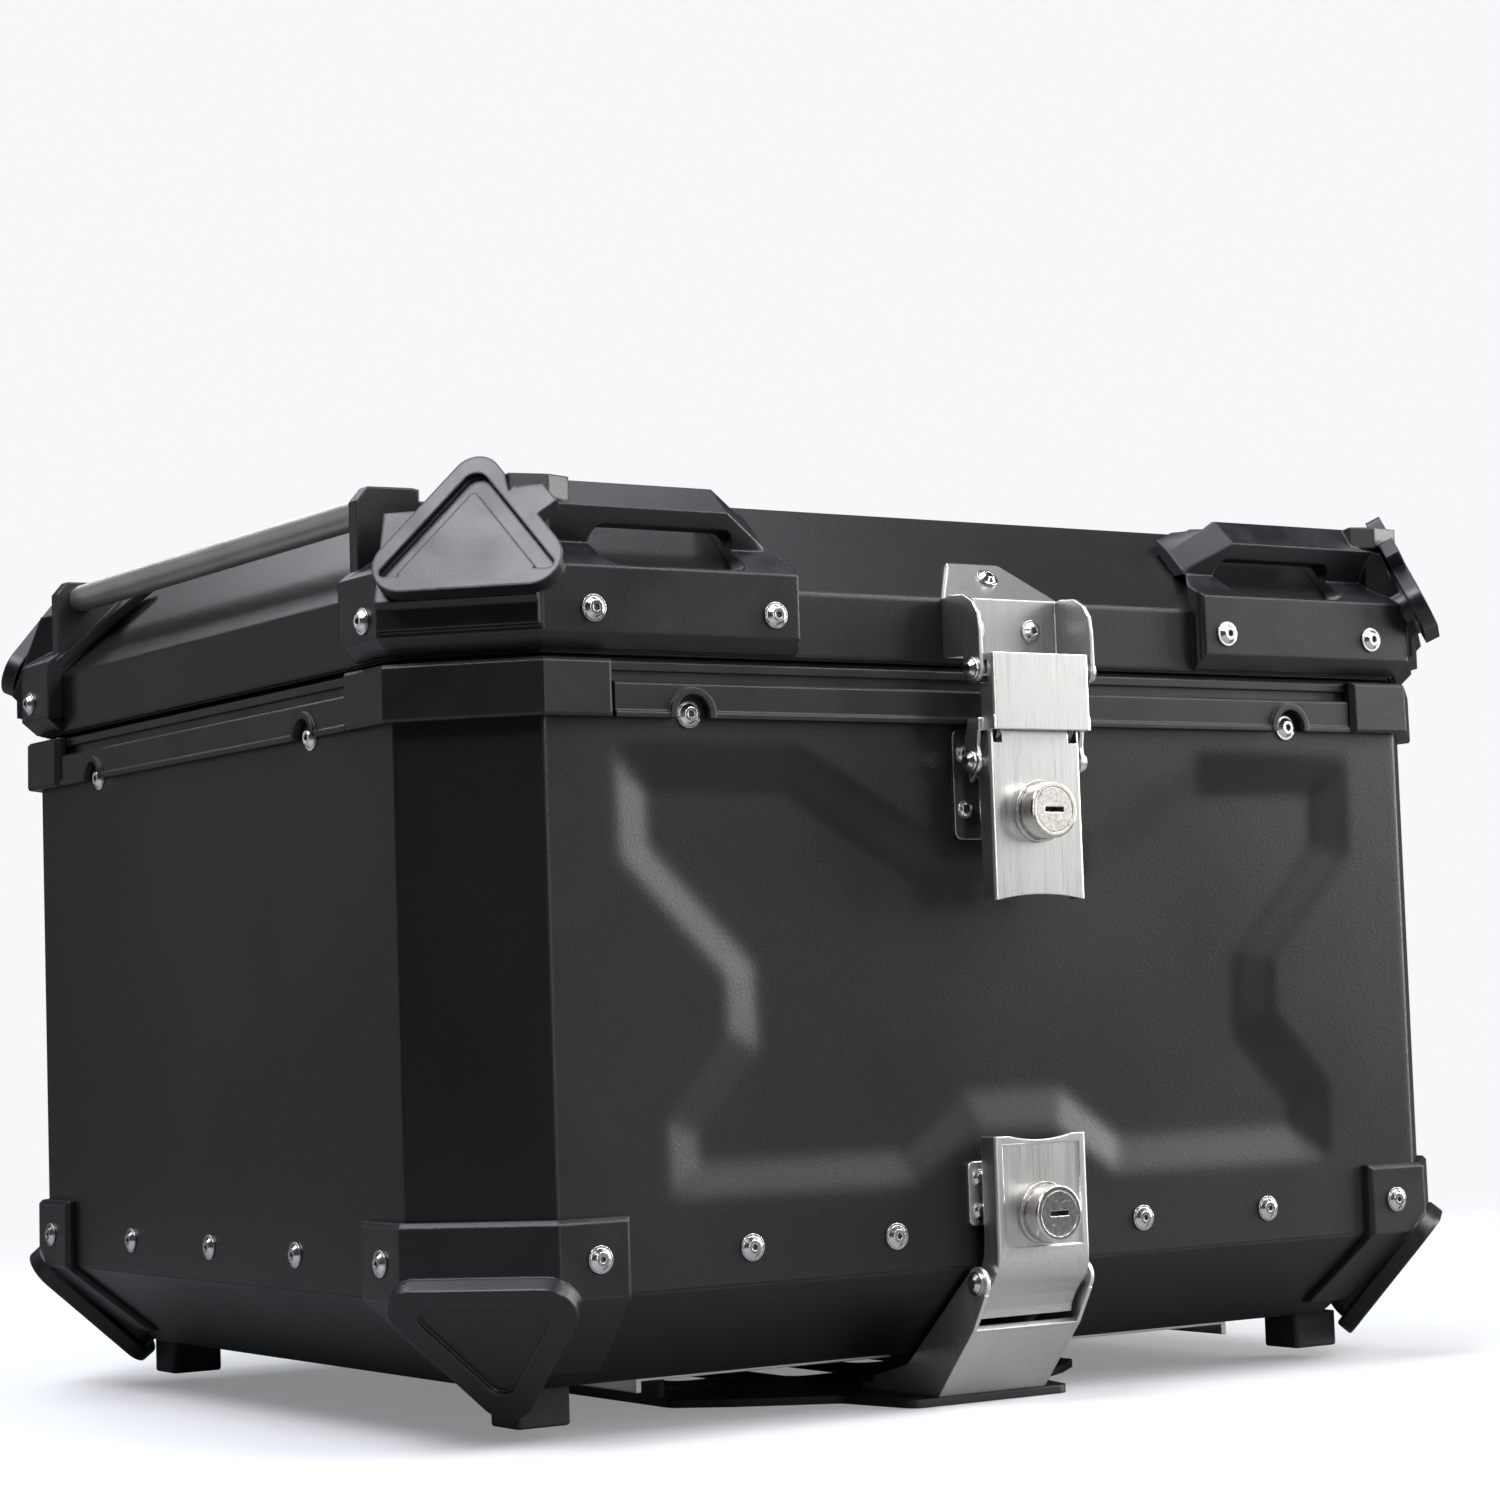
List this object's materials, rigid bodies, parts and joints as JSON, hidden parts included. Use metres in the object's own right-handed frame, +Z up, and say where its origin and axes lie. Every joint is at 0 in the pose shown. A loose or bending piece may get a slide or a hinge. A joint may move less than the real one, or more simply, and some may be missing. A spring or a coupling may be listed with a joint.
{
  "type": "motorcycle top case",
  "caption": "Black octagonal top case with hinged lid, moulded corner guards, side rails, over-centre draw latch, key locks and a quick-release base plate.",
  "frame": {"origin": "centre of the base plate's underside, on the bike's rack", "axes": "+Z up, -Y the rear with the latches, +X the right side seen from behind"},
  "size_m": [0.4946, 0.449, 0.342],
  "materials": {
    "coated_sheet": "matt black fine-texture powder coat on 2 mm aluminium sheet",
    "coated_steel": "satin black powder coat on aluminium plate",
    "black_plastic": "satin black moulded polymer with fine grain",
    "black_rubber": "matt black rubber",
    "stainless": "vertically brushed stainless steel with bright edges",
    "bright_fasteners": "bright stainless",
    "nickel_lock": "satin nickel plate",
    "rail_aluminium": "satin anodised, warm grey",
    "webbing": "black woven webbing"
  },
  "bodies": {
    "base": {"release_pin": "bright_fasteners", "release_bracket": "stainless", "base_plate": "coated_steel", "base_pads": "black_rubber", "pad_screws": "bright_fasteners", "bracket_bolts": "bright_fasteners"},
    "case": {"body_rivets": "bright_fasteners", "body_shell": "coated_sheet", "bottom_pan": "coated_sheet", "dock_nuts": "bright_fasteners", "dock_plate": "stainless", "dock_screws": "bright_fasteners", "feet": "black_rubber", "feet_screws": "bright_fasteners", "hinge_leaf_lower": "stainless", "hinge_pin": "bright_fasteners", "latch_keeper": "stainless", "lever_pin": "bright_fasteners", "lid_seal": "black_rubber", "lower_guard_front_left": "black_plastic", "lower_guard_front_right": "black_plastic", "lower_guard_rear_left": "black_plastic", "lower_guard_rear_right": "black_plastic", "lower_guard_rivets": "bright_fasteners", "release_keeper": "stainless", "rim_channel": "black_plastic", "rim_corners_front": "black_plastic", "rim_corners_rear": "black_plastic", "rim_screws": "bright_fasteners", "rim_strip_front": "black_plastic", "rim_strip_left": "black_plastic", "rim_strip_rear": "black_plastic", "rim_strip_right": "black_plastic", "small_rivets": "bright_fasteners", "stay_straps": "webbing"},
    "lid": {"lid_shell": "coated_sheet", "lid_rim": "black_plastic", "lid_guard_rear_left": "black_plastic", "lid_guard_rear_right": "black_plastic", "lid_guard_front_left": "black_plastic", "lid_guard_front_right": "black_plastic", "lid_guard_screws": "bright_fasteners", "lid_guard_nuts": "bright_fasteners", "side_rail_left": "rail_aluminium", "side_rail_right": "rail_aluminium", "lid_latch_bracket": "stainless", "lid_bracket_screws": "bright_fasteners", "catch_pin": "bright_fasteners", "hinge_leaf_upper": "stainless", "hinge_rivets_upper": "bright_fasteners"},
    "latch_lever": {"latch_lever": "stainless", "link_pins": "bright_fasteners", "upper_lock_housing": "nickel_lock"},
    "latch_link": {"latch_link": "stainless"},
    "upper_plug": {"upper_lock_plug": "nickel_lock", "upper_lock_cam": "nickel_lock"},
    "release_lever": {"release_lever": "stainless", "lower_lock_housing": "nickel_lock"},
    "lower_plug": {"lower_lock_plug": "nickel_lock", "lower_lock_cam": "nickel_lock"}
  },
  "joints": [
    {"name": "case_tilt", "type": "hinge", "parent": "base", "child": "case", "pos_m": [0, 0.104, 0.0088], "axis": [-1, 0, 0], "range_deg": [0, 18]},
    {"name": "release_lever_swing", "type": "hinge", "parent": "base", "child": "release_lever", "pos_m": [0, -0.204, 0.046], "axis": [1, 0, 0], "range_deg": [0, 48]},
    {"name": "lower_lock_turn", "type": "hinge", "parent": "release_lever", "child": "lower_plug", "pos_m": [0, -0.21, 0.0705], "axis": [0, -1, 0], "range_deg": [0, 90]},
    {"name": "lid_hinge", "type": "hinge", "parent": "case", "child": "lid", "pos_m": [0, 0.207, 0.2695], "axis": [-1, 0, 0], "range_deg": [0, 95]},
    {"name": "latch_lever_swing", "type": "hinge", "parent": "case", "child": "latch_lever", "pos_m": [0, -0.2146, 0.2475], "axis": [-1, 0, 0], "range_deg": [0, 70]},
    {"name": "latch_link_swing", "type": "hinge", "parent": "latch_lever", "child": "latch_link", "pos_m": [0, -0.2124, 0.236], "axis": [-1, 0, 0], "range_deg": [-70, 0]},
    {"name": "upper_lock_turn", "type": "hinge", "parent": "latch_lever", "child": "upper_plug", "pos_m": [0, -0.215, 0.2173], "axis": [0, -1, 0], "range_deg": [0, 90]}
  ],
  "couplings": [
    {"joint": "latch_link_swing", "follows": "latch_lever_swing", "ratio": -1}
  ]
}
